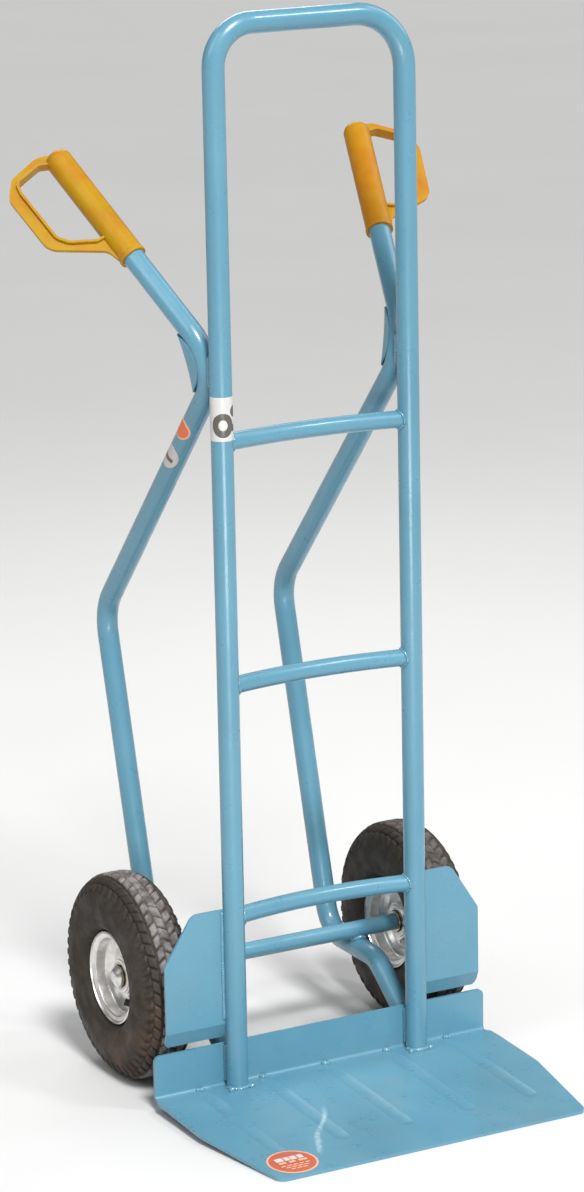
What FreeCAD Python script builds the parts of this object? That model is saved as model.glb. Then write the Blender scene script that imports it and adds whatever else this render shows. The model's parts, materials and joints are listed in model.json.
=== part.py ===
import FreeCAD, Part
import math
import os

import Sketcher
from FreeCAD import Placement, Rotation, Vector

# Hand truck with two pneumatic wheels, in millimetres.
# X points to the truck's right, Y to its rear and Z up.  The sub-parts are designed from the
# inside of the toe plate's fold (Y = 0) at floor level, and "origin_y" then moves them all so
# that the origin is below the middle of the whole truck.

doc = FreeCAD.newDocument("hand_truck")
sheet = doc.addObject("Spreadsheet::Sheet", "sizes")

SIZES = {
    # steel tube: 3/4 inch pipe for the frame, 1/2 inch pipe for rungs and axle
    "tube_od": 26.9,
    "tube_wall": 2.6,
    "rung_od": 21.3,
    "rung_wall": 2.6,
    # upright hoop: centreline sizes
    "frame_width": 255.0,
    "frame_height": 1317.3,
    "frame_corner_left": 50.0,
    "frame_corner_right": 67.0,
    "frame_y": -13.5,
    "rung_bow": 15.0,
    "rung_low_z": 235.0,
    "rung_middle_z": 526.0,
    "rung_high_z": 825.0,
    "joint_gap": 0.1,
    # side tubes: corner points of the centreline and bend radii
    "foot_z": 43.0,
    "foot_bend_y": 85.0,
    "saddle_z": 105.8,
    "saddle_rear_y": 208.0,
    "knee_y": 321.5,
    "knee_z": 549.8,
    "apex_y": -10.9,
    "apex_z": 915.4,
    "handle_x": 209.7,
    "handle_y": 254.3,
    "handle_z": 1145.1,
    "low_bend": 45.0,
    "knee_bend": 60.0,
    "apex_bend": 59.0,
    "handle_end": 8.0,
    # saddle gusset in the apex bend
    "gusset_high_x": 22.0,
    "gusset_high_y": 41.0,
    "gusset_low_x": 31.0,
    "gusset_low_y": -33.0,
    "gusset_sag": 3.5,
    "gusset_front": 57.0,
    "gusset_radius": 14.6,
    "gusset_wall": 2.0,
    # toe plate: bent sheet that falls towards its front edge
    "plate_sheet": 4.0,
    "plate_half": 238.0,
    "plate_depth": 279.0,
    "plate_side": 124.0,
    "plate_inset": 26.5,
    "plate_fold_z": 16.2,
    "plate_ledge": 31.0,
    "plate_slope": 2.8,
    "plate_bend": 4.0,
    "plate_corner": 14.0,
    "plate_step": 6.0,
    "flange_half": 234.0,
    "flange_height": 53.6,
    "flange_corner": 8.0,
    "bead_pitch": 88.0,
    "bead_width": 20.0,
    "bead_depth": 1.2,
    "bead_length": 205.0,
    # wheel guards
    "guard_sheet": 3.0,
    "guard_outer": 221.3,
    "guard_face_y": -10.0,
    "guard_low_z": 98.6,
    "guard_slant_z": 185.2,
    "guard_top_z": 245.7,
    "guard_top_x": 182.5,
    "guard_flap_back": 8.0,
    "guard_flap_drop": 19.0,
    # wheels and axle
    "axle_y": 134.5,
    "axle_z": 130.0,
    "wheel_x": 198.5,
    "wheel_roll": 230.0,
    "rod_radius": 8.0,
    "rod_reach": 19.0,
    "hub_radius": 21.5,
    "hub_half": 14.0,
    "spacer_half": 3.0,
    "bearing_radius": 17.5,
    "bearing_width": 11.0,
    "ring_extension": 1.0,
    "ball_radius": 3.0,
    "ball_pitch": 12.75,
    "ball_play": 0.05,
    "washer_thick": 2.0,
    "washer_radius": 14.0,
    "cap_radius": 13.0,
    "cap_height": 6.5,
    "rim_sheet": 2.0,
    "bolt_circle": 31.0,
    "bolt_radius": 2.5,
    "hex_circumradius": 4.62,
    "hex_height": 3.5,
    "tyre_wall": 5.0,
    "air_wall": 1.5,
    "valve_radius": 3.6,
    # grips, along the handle from its end
    "grip_radius": 16.5,
    "grip_end": 3.0,
    "grip_length": 174.5,
    "grip_round": 11.0,
    "collar_radius": 17.2,
    "collar_length": 4.5,
    "grip_turn_left": -20.0,
    "grip_turn_right": 0.0,
    "guard_web": 5.0,
    "guard_rib": 3.2,
    "guard_rib_width": 13.6,
}

for row, (alias, number) in enumerate(SIZES.items(), start=1):
    sheet.set(f"A{row}", alias)
    sheet.set(f"B{row}", str(number))
    sheet.setAlias(f"B{row}", alias)
doc.recompute()


def size(alias):
    """A driving dimension, read back from the sheet."""
    return float(sheet.get(alias))


def unit(vector):
    """The same direction with length 1."""
    return Vector(vector).normalize()


SIDES = {"left": -1, "right": 1}
X_AXIS, Y_AXIS = Vector(1, 0, 0), Vector(0, 1, 0)
ALONG_X = Rotation(Y_AXIS, 90)
half_width = size("frame_width") / 2
sub_parts = []


# ---------------------------------------------------------------- drawing helpers


def bend_centre(before, corner, after, radius):
    """Centre of the arc that rounds a corner, and the direction from the corner to it."""
    back, ahead = unit(before - corner), unit(after - corner)
    bisector = unit(back + ahead)
    half = back.getAngle(ahead) / 2
    return corner + bisector * (radius / math.sin(half)), bisector


def corner_arc(before, corner, after, radius):
    """Start, middle and end of the arc that rounds a corner."""
    back, ahead = unit(before - corner), unit(after - corner)
    centre, bisector = bend_centre(before, corner, after, radius)
    reach = radius / math.tan(back.getAngle(ahead) / 2)
    return corner + back * reach, centre - bisector * radius, corner + ahead * reach


def run(points, radii, closed=False):
    """Straight runs joined by tangent arcs, with one radius for each corner."""
    count = len(points)
    corners = range(count) if closed else range(1, count - 1)
    arcs = {}
    for place, radius in zip(corners, radii):
        if radius:
            after = points[(place + 1) % count]
            arcs[place] = corner_arc(points[place - 1], points[place], after, radius)
    pieces = []
    for place in range(count if closed else count - 1):
        following = (place + 1) % count
        start = arcs[place][2] if place in arcs else points[place]
        end = arcs[following][0] if following in arcs else points[following]
        pieces.append(Part.LineSegment(start, end))
        if following in arcs:
            pieces.append(Part.Arc(*arcs[following]))
    return pieces


def flat(pairs):
    """Pairs of sketch coordinates as points."""
    return [Vector(first, second, 0) for first, second in pairs]


def offset(points, distance, closed=False):
    """The polyline moved sideways by a distance, to the left of its direction."""
    count = len(points)
    moved = []
    for place, point in enumerate(points):
        normals = []
        if closed or place > 0:
            along = unit(point - points[place - 1])
            normals.append(Vector(-along.y, along.x, 0))
        if closed or place < count - 1:
            along = unit(points[(place + 1) % count] - point)
            normals.append(Vector(-along.y, along.x, 0))
        bisector = unit(sum(normals, Vector()))
        moved.append(point + bisector * (distance / bisector.dot(normals[0])))
    return moved


def sketch(body, name, plane, pieces):
    """A sketch of joined pieces on one of the body's own origin planes."""
    drawing = body.newObject("Sketcher::SketchObject", name)
    face = [item for item in body.Origin.OriginFeatures if item.Role == plane][0]
    drawing.AttachmentSupport = [(face, "")]
    drawing.MapMode = "FlatFace"
    drawing.addGeometry(pieces, False)
    free = {(place, end) for place in range(len(pieces)) for end in (1, 2)}
    for place in range(len(pieces)):
        following = (place + 1) % len(pieces)
        for end, start in ((1, 1), (1, 2), (2, 1), (2, 2)):
            pair = {(place, end), (following, start)}
            gap = drawing.getPoint(place, end).distanceToPoint(drawing.getPoint(following, start))
            if gap < 1e-6 and len(pair) == 2 and pair <= free:
                drawing.addConstraint(Sketcher.Constraint("Coincident", place, end, following, start))
                free -= pair
    return drawing


def pad(name, plane, pieces, length):
    """A body of one pad, centred on its sketch plane."""
    body = doc.addObject("PartDesign::Body", name)
    drawing = sketch(body, name + "_outline", plane, pieces)
    feature = body.newObject("PartDesign::Pad", name + "_pad")
    feature.Profile = drawing
    feature.SideType = "Symmetric"
    feature.setExpression("Length", length)
    return body


def revolve(name, points, radii):
    """A body turned about X from an outline of (x, radius) points."""
    body = doc.addObject("PartDesign::Body", name)
    drawing = sketch(body, name + "_outline", "XY_Plane", run(flat(points), radii, closed=True))
    feature = body.newObject("PartDesign::Revolution", name + "_turned")
    feature.Profile = drawing
    feature.ReferenceAxis = (drawing, ["H_Axis"])
    feature.Angle = 360
    return body


def cylinder(name, radius, height, base=Vector(), rotation=Rotation()):
    """A cylinder whose radius and height are expressions."""
    piece = doc.addObject("Part::Cylinder", name)
    piece.setExpression("Radius", radius)
    piece.setExpression("Height", height)
    piece.Placement = Placement(base, rotation)
    return piece


def box(name, low, high):
    """A box between two corners."""
    piece = doc.addObject("Part::Box", name)
    span = high - low
    piece.Length, piece.Width, piece.Height = span.x, span.y, span.z
    piece.Placement.Base = low
    return piece


def cut(name, base, tool):
    piece = doc.addObject("Part::Cut", name)
    piece.Base, piece.Tool = base, tool
    return piece


def fuse(name, shapes):
    piece = doc.addObject("Part::MultiFuse", name)
    piece.Shapes = shapes
    return piece


def common(name, shapes):
    piece = doc.addObject("Part::MultiCommon", name)
    piece.Shapes = shapes
    return piece


def group(name, shapes):
    piece = doc.addObject("Part::Compound", name)
    piece.Links = shapes
    return piece


def keep(piece, label, base=Vector(), rotation=Rotation()):
    """Put a finished sub-part in its place and list it for export."""
    piece.Label = label
    piece.Placement = Placement(base + Vector(0, origin_y, 0), rotation)
    sub_parts.append(piece)
    return piece


# ---------------------------------------------------------------- tubes


def swept(name, path, radius):
    """A round bar swept along a wire, with its radius as an expression."""
    ring = doc.addObject("Part::Circle", name + "_ring")
    ring.setExpression("Radius", radius)
    start = path.Shape.Edges[0]
    ring.Placement = Placement(
        start.valueAt(start.FirstParameter),
        Rotation(Vector(0, 0, 1), start.tangentAt(start.FirstParameter)),
    )
    bar = doc.addObject("Part::Sweep", name)
    bar.Sections, bar.Spine, bar.Solid = [ring], (path, []), True
    return bar


def route(name, pieces):
    """The centreline of a bent tube as a wire."""
    path = doc.addObject("Part::Feature", name)
    path.Shape = Part.Wire([piece.toShape() for piece in pieces])
    return path


def tube(name, pieces, kind, trims=()):
    """A hollow tube along a centreline, trimmed by other shapes."""
    path = route(name + "_route", pieces)
    outer = swept(name + "_outer", path, f"sizes.{kind}_od / 2")
    inner = swept(name + "_inner", path, f"sizes.{kind}_od / 2 - sizes.{kind}_wall")
    result = cut(name + "_tube", outer, inner)
    for place, trim in enumerate(trims):
        result = cut(f"{name}_trim_{place}", result, trim)
    return result


def side_corners(side):
    """Corner points of a side tube's centreline, from the toe plate to the grip's end."""
    x = side * half_width
    lean = (size("saddle_z") - size("foot_z")) / (size("foot_bend_y") - size("plate_sheet"))
    start_y = -10.0
    start_z = size("foot_z") + lean * (start_y - size("plate_sheet"))
    return [
        Vector(x, start_y, start_z),
        Vector(x, size("foot_bend_y"), size("saddle_z")),
        Vector(x, size("saddle_rear_y"), size("saddle_z")),
        Vector(x, size("knee_y"), size("knee_z")),
        Vector(x, size("apex_y"), size("apex_z")),
        Vector(side * size("handle_x"), size("handle_y"), size("handle_z")),
    ]


# The front edge of the toe plate and the rear of the knee bends are the truck's ends in Y.
slope = math.radians(size("plate_slope"))
blade = size("plate_depth") - size("plate_ledge")
front_y = -size("plate_ledge") - blade * math.cos(slope)
knee_centre, _ = bend_centre(*side_corners(1)[2:5], size("knee_bend"))
rear_y = knee_centre.y + size("knee_bend") + size("tube_od") / 2
origin_y = -(front_y + rear_y) / 2


def frame_hoop():
    """The bent hoop, whose feet are shaped to the inside of the toe plate's fold."""
    x, y = half_width, size("frame_y")
    fold, top, bend = size("plate_fold_z"), size("frame_height"), size("plate_bend")
    foot = fold + size("joint_gap")
    corners = [Vector(-x, y, foot), Vector(-x, y, top), Vector(x, y, top), Vector(x, y, foot)]
    reach = x + size("tube_od")
    block = box("foot_block", Vector(-reach, -bend, fold - 1), Vector(reach, 1, fold + bend))
    curve = cylinder(
        "foot_curve",
        "sizes.plate_bend - sizes.joint_gap",
        f"{2 * reach}",
        Vector(-reach, -bend, fold + bend),
        ALONG_X,
    )
    radii = [size("frame_corner_left"), size("frame_corner_right")]
    keep(tube("hoop", run(corners, radii), "tube", [cut("foot_shape", block, curve)]), "frame_hoop")


def crossbar(label, height):
    """A rung that bows to the rear, with its ends shaped to the frame's uprights."""
    x, y, z = half_width, size("frame_y"), size(height)
    arc = Part.Arc(Vector(-x, y, z), Vector(0, y + size("rung_bow"), z), Vector(x, y, z))
    uprights = [
        cylinder(
            f"{label}_{name}_upright",
            "sizes.tube_od / 2 + sizes.joint_gap",
            "4 * sizes.tube_od",
            Vector(side * x, y, z - 2 * size("tube_od")),
        )
        for name, side in SIDES.items()
    ]
    keep(tube(label, [arc], "rung", uprights), label)


def side_tube(name, side):
    """Foot, saddle under the axle, leg, knee, apex behind the frame, and handle."""
    corners = side_corners(side)
    handle = unit(corners[-1] - corners[-2])
    corners[-1] = corners[-1] - handle * size("handle_end")
    radii = [size("low_bend"), size("low_bend"), size("knee_bend"), size("apex_bend")]
    edge = size("plate_sheet") + size("joint_gap")
    x = side * half_width
    front = box(f"side_{name}_front", Vector(x - 40, -60, -40), Vector(x + 40, edge, 120))
    keep(tube(f"side_{name}", run(corners, radii), "tube", [front]), f"side_tube_{name}")


def bend_gusset(name, side):
    """A saddle of half-round sheet that bridges the inside of the apex bend.

    It is drawn with the bend's centre at the origin, x towards the apex and y upwards.
    """
    corners = side_corners(side)
    leg, handle = unit(corners[3] - corners[4]), unit(corners[5] - corners[4])
    bend = size("apex_bend")
    centre, inward = bend_centre(*corners[3:6], bend)
    frame = Rotation(inward * -1, unit(handle - leg), Vector(0, 0, 0), "XYZ")
    low = Vector(size("gusset_low_x"), size("gusset_low_y"), 0)
    high = Vector(size("gusset_high_x"), size("gusset_high_y"), 0)
    rear = Vector(-size("gusset_high_x"), 0, 0)
    leaf = pad(
        f"gusset_{name}_leaf",
        "XY_Plane",
        [
            Part.Arc(low, Vector(size("gusset_front"), 0, 0), high),
            Part.LineSegment(high, high + rear),
            Part.LineSegment(high + rear, low + rear),
            Part.LineSegment(low + rear, low),
        ],
        "2 * sizes.gusset_radius",
    )
    sag, chord = size("gusset_sag"), high - low
    curve = (chord.Length**2 / 4 + sag**2) / (2 * sag)
    across = unit(Vector(chord.y, -chord.x, 0))
    axis = (low + high) / 2 + across * (sag - curve)

    def trough(label, spare):
        """A half-round channel bent to a large radius, narrower all round for its inside."""
        half, near = size("gusset_radius") - spare, curve + spare
        points = [(-half, near), (-half, near + 60), (half, near + 60), (half, near)]
        turned = revolve(label, points, [half - 0.05, 0, 0, half - 0.05])
        turned.Placement = Placement(axis, Rotation(Y_AXIS, -90))
        return turned

    saddle = common(f"gusset_{name}_saddle", [leaf, trough(f"gusset_{name}_outside", 0)])
    inside = trough(f"gusset_{name}_inside", size("gusset_wall"))
    shell = cut(f"gusset_{name}_shell", saddle, inside)
    turn = math.pi / 2 - leg.getAngle(handle) / 2
    ring_of_bend = doc.addObject("Part::Torus", f"gusset_{name}_bend")
    ring_of_bend.setExpression("Radius1", "sizes.apex_bend")
    ring_of_bend.setExpression("Radius2", "sizes.tube_od / 2 + sizes.joint_gap")
    straights = [
        cylinder(
            f"gusset_{name}_straight_{place}",
            "sizes.tube_od / 2 + sizes.joint_gap",
            "3 * sizes.tube_od",
            Vector(bend * math.cos(turn), sign * bend * math.sin(turn), 0),
            Rotation(Vector(0, 0, 1), Vector(-math.sin(turn), sign * math.cos(turn), 0)),
        )
        for place, sign in enumerate((-1, 1))
    ]
    clear = fuse(f"gusset_{name}_clear", [ring_of_bend] + straights)
    keep(cut(f"gusset_{name}_cut", shell, clear), f"bend_gusset_{name}", centre, frame)


# ---------------------------------------------------------------- sheet metal


def toe_plate():
    """Bent sheet: a flange, a level ledge under the frame's feet and a blade that falls away."""
    sheet_t, ledge = size("plate_sheet"), size("plate_ledge")
    front = Vector(front_y, -blade * math.sin(slope), 0)
    top = [front, Vector(-ledge, 0, 0), Vector(0, 0, 0), Vector(0, size("flange_height"), 0)]
    bend = size("plate_bend")
    section = pad(
        "plate_section",
        "YZ_Plane",
        run(
            top + offset(top, -sheet_t)[::-1],
            [0, 0, bend, 0, 0, bend + sheet_t, 0, 0],
            closed=True,
        ),
        "2 * sizes.plate_half",
    )
    half, depth, side = size("plate_half"), size("plate_depth"), size("plate_side")
    step, flange_half = size("plate_step"), size("flange_half")
    right = [
        (half - size("plate_inset"), -depth),
        (half, -side),
        (half, -2 * step),
        (flange_half, -step),
        (flange_half, 30),
    ]
    radii = [size("plate_corner"), 4, 3, 2, 0]
    plan = pad(
        "plate_plan",
        "XY_Plane",
        run(flat(mirrored(right)), radii[::-1] + radii, closed=True),
        "4 * sizes.flange_height",
    )
    wide, top_z = half + 5, size("flange_height")
    right = [(flange_half, top_z), (flange_half, 2), (wide, 2), (wide, -60)]
    radii = [size("flange_corner"), 0, 0, 0]
    front = pad(
        "plate_front",
        "XZ_Plane",
        run(flat(mirrored(right)), radii[::-1] + radii, closed=True),
        "4 * sizes.plate_depth",
    )
    ribs, troughs = beads()
    line = top[:3]
    floor = offset(line, 0.5 - sheet_t) + offset(line, -sheet_t - 2 * size("bead_depth"))[::-1]
    below = pad("bead_floor", "YZ_Plane", run(floor, [0] * 6, closed=True), "2 * sizes.plate_half")
    blank = common("plate_blank", [section, plan, front])
    ribbed = fuse("plate_ribbed", [blank, common("bead_ribs", [ribs, below])])
    keep(cut("plate_beaded", ribbed, troughs), "toe_plate", Vector(0, 0, size("plate_fold_z")))


def mirrored(right):
    """An outline's left half, in reverse order, and then its right half."""
    return [(-first, second) for first, second in right[::-1]] + right


def beads():
    """Five pressed beads of the blade: the ribs below it and the troughs in its top."""
    width, depth = size("bead_width"), size("bead_depth")
    curve = (width * width / 4 + depth * depth) / (2 * depth)
    along = size("bead_length") - size("plate_ledge")
    lift = curve - depth
    end_y = -size("plate_ledge") - along * math.cos(slope) - lift * math.sin(slope)
    end_z = -along * math.sin(slope) + lift * math.cos(slope)
    rotation = Rotation(X_AXIS, size("plate_slope") - 90)
    made = []
    for kind, radius in (("rib", curve + size("plate_sheet")), ("trough", curve)):
        bars = []
        for place in range(-2, 3):
            label = f"bead_{kind}_{place + 2}"
            spot = Vector(place * size("bead_pitch"), end_y, end_z)
            end = doc.addObject("Part::Sphere", label + "_end")
            end.Radius = radius
            end.Placement.Base = spot
            bars += [cylinder(label, f"{radius}", "sizes.bead_length - 5", spot, rotation), end]
        made.append(fuse(f"bead_{kind}s", bars))
    return made


def wheel_guard(name, side):
    """A flat plate beside an upright, with a slanted top corner and a flap bent to the rear."""
    gap, face_y = size("joint_gap"), size("guard_face_y")
    near = math.sqrt((size("tube_od") / 2 + gap) ** 2 - (face_y - size("frame_y")) ** 2)
    inner, outer = half_width + near, size("guard_outer")
    low, top = size("guard_low_z"), size("guard_top_z")
    drop = size("guard_flap_drop")
    face = flat([(face_y + size("guard_flap_back"), low - drop), (face_y, low), (face_y, top)])
    section = pad(
        f"guard_{name}_section",
        "YZ_Plane",
        run(face + offset(face, -size("guard_sheet"))[::-1], [0, 4, 0, 0, 1, 0], closed=True),
        "2 * sizes.guard_outer",
    )
    points = [
        (side * inner, low - drop - 5),
        (side * outer, low - drop - 2),
        (side * outer, size("guard_slant_z")),
        (side * size("guard_top_x"), top),
        (side * inner, top),
    ]
    shape = pad(
        f"guard_{name}_shape",
        "XZ_Plane",
        run(flat(points), [0, 12, 8, 14, 0], closed=True),
        "4 * sizes.tube_od",
    )
    keep(common(f"guard_{name}_plate", [section, shape]), f"wheel_guard_{name}")


# ---------------------------------------------------------------- axle


def ring(name, outer, inner, length, start_x):
    """A ring about X whose sizes are expressions."""
    base = Vector(start_x, 0, 0)
    body = cylinder(name + "_outside", outer, length, base, ALONG_X)
    bore = cylinder(name + "_bore", inner, length, base, ALONG_X)
    return cut(name + "_ring", body, bore)


def inner_washer_face():
    """Distance from the middle to the inner washer's face towards the sleeve."""
    return size("wheel_x") - size("hub_half") - size("ring_extension") - size("washer_thick")


def axle():
    """The sleeve between the wheels and the rod through it, with chamfered ends."""
    centre = Vector(0, size("axle_y"), size("axle_z"))
    half = inner_washer_face() - size("joint_gap")
    bore_radius = "sizes.rung_od / 2 - sizes.rung_wall"
    sleeve = ring("axle", "sizes.rung_od / 2", bore_radius, f"{2 * half}", -half)
    keep(sleeve, "axle_tube", centre)
    half = size("wheel_x") + size("rod_reach")
    rod = cylinder("rod", "sizes.rod_radius", f"{2 * half}", Vector(-half, 0, 0), ALONG_X)
    ends = doc.addObject("Part::Chamfer", "rod_ends")
    ends.Base = rod
    doc.recompute()
    ends.Edges = [
        (number, 1.0, 1.0)
        for number, edge in enumerate(rod.Shape.Edges, start=1)
        if edge.Curve.TypeId == "Part::GeomCircle"
    ]
    keep(ends, "axle_rod", centre)


# ---------------------------------------------------------------- wheels
# Every wheel piece is drawn with x = 0 in the wheel's middle plane and x pointing outward.


def wheel_place(side):
    """Where a wheel's own frame goes: facing outwards, and rolled so that its valve is low."""
    base = Vector(side * size("wheel_x"), size("axle_y"), size("axle_z"))
    facing = Rotation(Vector(0, 0, 1), 0 if side > 0 else 180)
    return base, facing.multiply(Rotation(X_AXIS, size("wheel_roll")))


def tyre(name, side):
    """Pneumatic tyre: round crown, bulging walls and two beads inside the rim's lips."""
    crown, wall = size("axle_z"), size("tyre_wall")
    right = [(20.3, 52.0), (22.8, 59.0), (34.6, 66.0), (37.0, 93.0), (31.0, 120.5), (14.0, crown)]
    bends = [2.0, 9.0, 30.0, 26.0, 16.0]
    outer = flat([(-x, radius) for x, radius in right] + right[::-1])
    inner = offset(outer, -wall)
    inner[0].x, inner[-1].x = outer[0].x + 1.6 * wall, outer[-1].x - 1.6 * wall
    inner[0].y = inner[-1].y = outer[0].y
    hollow = [max(bend - wall, 1) for bend in bends]
    hollow[0] += wall
    radii = [0] + bends + bends[::-1] + [0, 0] + hollow + hollow[::-1] + [0]
    piece = revolve(f"tyre_{name}_section", [(p.x, p.y) for p in outer + inner[::-1]], radii)
    keep(piece, f"tyre_{name}", *wheel_place(side))


def inner_tube(name, side):
    """Inflated rubber tube, clear of the tyre that it fills."""
    outline = [(19, 68), (29, 72), (30.5, 93), (25.5, 115), (12, 123)]
    outline += [(-x, radius) for x, radius in outline[::-1]]
    radii = [4, 8, 20, 16, 12, 12, 16, 20, 8, 4]
    wall = size("air_wall")
    skin = offset(flat(outline), wall, closed=True)
    outside = revolve(f"air_{name}_outside", outline, radii)
    inner_radii = [radius - wall for radius in radii]
    inside = revolve(f"air_{name}_inside", [(p.x, p.y) for p in skin], inner_radii)
    keep(cut(f"air_{name}", outside, inside), f"inner_tube_{name}", *wheel_place(side))


def rim_half(name, side, label, facing):
    """Half of the pressed rim: lip, bead seat, well, bolted disc and hub collar."""
    mid = size("rim_sheet") / 2 + 0.1
    hub = size("hub_radius") + size("joint_gap") + size("rim_sheet") / 2
    line = [
        (27.6, 57.6),
        (24.6, 56.4),
        (22.6, 50.6),
        (9.5, 49.4),
        (6.0, 44.5),
        (mid, 39.5),
        (mid, hub),
        (12.0, hub),
    ]
    near = offset(flat(line), size("rim_sheet") / 2)
    far = offset(flat(line), -size("rim_sheet") / 2)
    bends = [2.0, 1.6, 3.5, 3.5, 1.5, 3.0]
    inside_bends = [3.5, 3.0, 1.6, 1.8, 3.5, 1.0]
    outline = near + far[::-1]
    radii = [0] + bends + [0, 0] + inside_bends[::-1] + [0]
    blank = revolve(f"rim_{name}_{label}", [(facing * p.x, p.y) for p in outline], radii)
    bores = []
    for place in range(4):
        angle = math.radians(45 + 90 * place)
        spot = Vector(0, math.cos(angle), math.sin(angle)) * size("bolt_circle") - X_AXIS * 10
        bores.append(
            cylinder(f"rim_{name}_{label}_hole_{place}", "sizes.bolt_radius + 0.2", "20", spot, ALONG_X)
        )
    if facing > 0:
        bores.append(valve_bar(f"rim_{name}_valve_hole", "sizes.valve_radius + 0.4", 2.0, 40.0))
    piece = cut(f"rim_{name}_{label}_drilled", blank, group(f"rim_{name}_{label}_holes", bores))
    keep(piece, f"rim_{label}_{name}", *wheel_place(side))


def valve_bar(name, radius, start, length):
    """A bar along the valve's slanted axis."""
    base, along = Vector(1.0, 0, 50.5), Vector(0.84, 0, -0.543)
    return cylinder(name, radius, f"{length}", base + along * start, Rotation(Vector(0, 0, 1), along))


def rim_fasteners(name, side):
    """Four bolts with hexagon heads outside, and their nuts on the inner disc."""
    face = size("rim_sheet") + 0.15
    bolts, nuts = [], []
    for place in range(4):
        angle = math.radians(45 + 90 * place)
        across = Vector(0, math.cos(angle), math.sin(angle)) * size("bolt_circle")
        shank = cylinder(
            f"bolt_{name}_{place}_shank",
            "sizes.bolt_radius",
            "2 * sizes.rim_sheet + 2 * sizes.hex_height",
            across + Vector(-2 * face - 3.5, 0, 0),
            ALONG_X,
        )
        for made, start in ((bolts, face), (nuts, -face - size("hex_height"))):
            kind = "head" if made is bolts else "nut"
            hexagon = doc.addObject("Part::Prism", f"bolt_{name}_{place}_{kind}")
            hexagon.Polygon = 6
            hexagon.setExpression("Circumradius", "sizes.hex_circumradius")
            hexagon.setExpression("Height", "sizes.hex_height")
            hexagon.Placement = Placement(across + Vector(start, 0, 0), ALONG_X)
            if made is bolts:
                made.append(fuse(f"bolt_{name}_{place}", [hexagon, shank]))
            else:
                bore = cylinder(
                    f"bolt_{name}_{place}_bore",
                    "sizes.bolt_radius + 0.05",
                    "sizes.hex_height",
                    hexagon.Placement.Base,
                    ALONG_X,
                )
                made.append(cut(f"nut_{name}_{place}", hexagon, bore))
    keep(group(f"bolts_{name}", bolts), f"rim_bolts_{name}", *wheel_place(side))
    keep(group(f"nuts_{name}", nuts), f"rim_nuts_{name}", *wheel_place(side))


def hub(name, side):
    """Hub tube with a bearing seat at each end and a spacer rib between them."""
    half, rib = size("hub_half"), size("spacer_half")
    outer, seat = size("hub_radius"), size("bearing_radius") + 0.03
    outline = [
        (-half, outer),
        (half, outer),
        (half, seat),
        (rib, seat),
        (rib, 15.4),
        (-rib, 15.4),
        (-rib, seat),
        (-half, seat),
    ]
    piece = revolve(f"hub_{name}", outline, [1.5, 1.5, 0.6, 0, 0, 0, 0, 0.6])
    keep(piece, f"hub_tube_{name}", *wheel_place(side))


def bearings(name, side):
    """Two ball bearings: inner rings on the rod, outer rings in the hub."""
    middle = size("spacer_half") + size("bearing_width") / 2
    half = size("bearing_width") / 2
    track = size("ball_radius") + size("ball_play")
    pitch = size("ball_pitch")
    outer_rings, inner_rings, seals, balls, cages = [], [], [], [], []
    for end in (-1, 1):
        tag = f"{name}_{'inboard' if end < 0 else 'outboard'}"
        x = end * middle
        race = doc.addObject("Part::Torus", f"race_{tag}")
        race.setExpression("Radius1", "sizes.ball_pitch")
        race.setExpression("Radius2", "sizes.ball_radius + sizes.ball_play")
        race.Placement = Placement(Vector(x, 0, 0), ALONG_X)
        blank = ring(f"outer_{tag}", "sizes.bearing_radius", "14.9", "sizes.bearing_width", x - half)
        outer_rings.append(cut(f"outer_race_{tag}", blank, race))
        start = x - half - (size("ring_extension") if end < 0 else 0)
        length = "sizes.bearing_width + sizes.ring_extension"
        blank = ring(f"inner_{tag}", "10.8", "sizes.rod_radius + 0.02", length, start)
        inner_rings.append(cut(f"inner_race_{tag}", blank, race))
        seal_x = x + end * (half - 1.0) - 0.4
        seals.append(ring(f"seal_{tag}", "14.85", "11.1", "0.8", seal_x))
        pockets = []
        for place in range(8):
            angle = math.radians(45 * place)
            spot = Vector(x, pitch * math.cos(angle), pitch * math.sin(angle))
            for made, radius, kind in (
                (balls, "sizes.ball_radius", "ball"),
                (pockets, "sizes.ball_radius + 0.08", "pocket"),
            ):
                ball = doc.addObject("Part::Sphere", f"{kind}_{tag}_{place}")
                ball.setExpression("Radius", radius)
                ball.Placement.Base = spot
                made.append(ball)
        blank = ring(f"cage_{tag}", "13.3", "12.2", "7.6", x - 3.8)
        cages.append(cut(f"cage_drilled_{tag}", blank, group(f"pockets_{tag}", pockets)))
    place = wheel_place(side)
    keep(group(f"outer_rings_{name}", outer_rings), f"bearing_outer_rings_{name}", *place)
    keep(group(f"inner_rings_{name}", inner_rings), f"bearing_inner_rings_{name}", *place)
    keep(group(f"seals_{name}", seals), f"bearing_seals_{name}", *place)
    keep(group(f"balls_{name}", balls), f"bearing_balls_{name}", *place)
    keep(group(f"cages_{name}", cages), f"bearing_cages_{name}", *place)


def washers_and_cap(name, side):
    """Washers on both ends of the hub, and the domed cap on the rod's end."""
    edge = size("hub_half") + size("ring_extension")
    thick = size("washer_thick")
    place = wheel_place(side)
    for label, start in (("inner", -edge - thick), ("outer", edge)):
        washer = ring(
            f"washer_{label}_{name}",
            "sizes.washer_radius",
            "sizes.rod_radius + 0.15",
            "sizes.washer_thick",
            start,
        )
        keep(washer, f"washer_{label}_{name}", *place)
    start = edge + thick + 0.1
    outer, rod = size("cap_radius"), size("rod_radius") + 0.05
    end = size("rod_reach") + 0.2
    outline = [
        (start, rod),
        (start, outer),
        (start + 1.2, outer),
        (start + size("cap_height"), 7.5),
        (start + size("cap_height"), 0),
        (end, 0),
        (end, rod),
    ]
    cap = revolve(f"cap_{name}", outline, [0, 0.5, 0.5, 6.0, 0, 0, 0])
    keep(cap, f"axle_cap_{name}", *place)


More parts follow.
